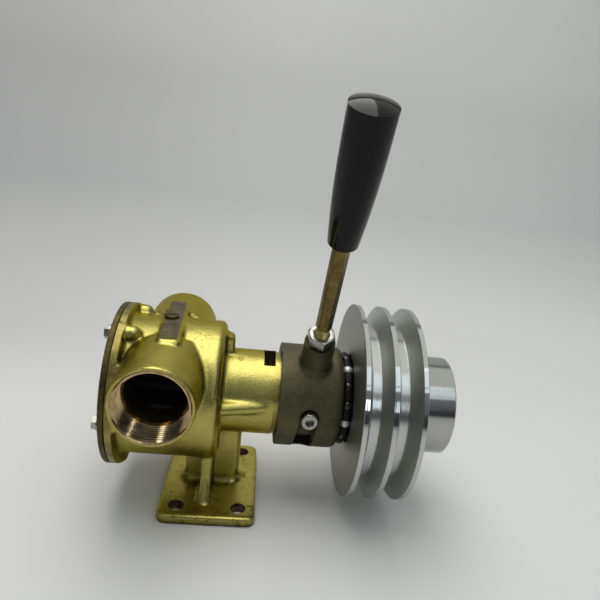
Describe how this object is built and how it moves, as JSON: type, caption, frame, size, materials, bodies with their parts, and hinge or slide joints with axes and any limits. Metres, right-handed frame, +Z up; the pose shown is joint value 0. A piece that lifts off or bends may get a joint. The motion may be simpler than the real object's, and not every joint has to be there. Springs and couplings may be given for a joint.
{
  "type": "belt-driven bilge pump",
  "caption": "Foot-mounted bronze impeller pump with two threaded ports, a grooved belt pulley and a hand lever that works a cone clutch.",
  "frame": {"origin": "centre of the foot's bolt pattern, on the underside of the foot", "axes": "+X along the shaft from the pump's cover to the pulley, +Y away from the side that the lever leans to, +Z up"},
  "size_m": [0.2457, 0.1836, 0.2916],
  "materials": {
    "casting": "tumbled bronze casting",
    "brass": "dull brass",
    "machined_bronze": "turned bronze",
    "cast_bronze": "sand-cast bronze, dull",
    "zinc": "zinc plated",
    "steel": "ground steel",
    "black_steel": "blackened steel",
    "aluminium": "turned aluminium",
    "rubber": "moulded nitrile rubber",
    "paper": "gasket paper",
    "cage_plastic": "black moulded plastic",
    "grip_plastic": "polished black thermoset",
    "lining": "friction lining"
  },
  "bodies": {
    "housing": {"pump_body": "casting", "end_cover": "brass", "cover_gasket": "paper", "cover_screws": "zinc", "cover_washers": "zinc", "cam": "machined_bronze", "cam_screw": "brass", "cam_ring": "machined_bronze", "wear_plate": "brass", "shaft_seal": "rubber", "bearing_outer_rings": "steel", "bearing_balls": "steel", "bearing_spacer": "steel", "bearing_circlip": "black_steel", "follower_screw": "zinc", "follower_bush": "machined_bronze"},
    "shaft": {"pump_shaft": "steel", "impeller": "rubber", "impeller_sleeve": "brass", "impeller_key": "steel", "slinger": "rubber", "bearing_inner_rings": "steel", "clutch_cone": "steel", "cone_key": "steel", "shaft_washer": "zinc", "shaft_nut": "zinc", "release_spring": "steel"},
    "thrust_carriage": {"thrust_race_rear": "steel"},
    "lever": {"clutch_collar": "cast_bronze", "lever_locknut": "zinc", "lever_rod": "brass", "lever_grip": "grip_plastic"},
    "pulley": {"belt_pulley": "aluminium", "pulley_bush": "machined_bronze", "spring_seat": "steel", "thrust_race_front": "steel", "clutch_lining": "lining"},
    "cage": {"thrust_cage": "cage_plastic", "thrust_balls": "steel"}
  },
  "joints": [
    {"name": "shaft_spin", "type": "hinge", "parent": "housing", "child": "shaft", "pos_m": [0, 0, 0.0834], "axis": [1, 0, 0], "continuous": true, "deforming": ["impeller"]},
    {"name": "clutch_travel", "type": "slide", "parent": "housing", "child": "thrust_carriage", "axis": [1, 0, 0], "range_m": [0, 0.00267], "deforming": ["release_spring"]},
    {"name": "lever_turn", "type": "hinge", "parent": "thrust_carriage", "child": "lever", "pos_m": [0.0665, 0, 0.0834], "axis": [1, 0, 0], "range_deg": [-60, 0]},
    {"name": "pulley_spin", "type": "hinge", "parent": "thrust_carriage", "child": "pulley", "pos_m": [0.115, 0, 0.0834], "axis": [1, 0, 0], "continuous": true},
    {"name": "cage_spin", "type": "hinge", "parent": "thrust_carriage", "child": "cage", "pos_m": [0.0908, 0, 0.0834], "axis": [1, 0, 0], "continuous": true}
  ],
  "couplings": [
    {"joint": "clutch_travel", "follows": "lever_turn", "m_per_rad": -0.002546},
    {"joint": "cage_spin", "follows": "pulley_spin", "ratio": 0.5}
  ]
}
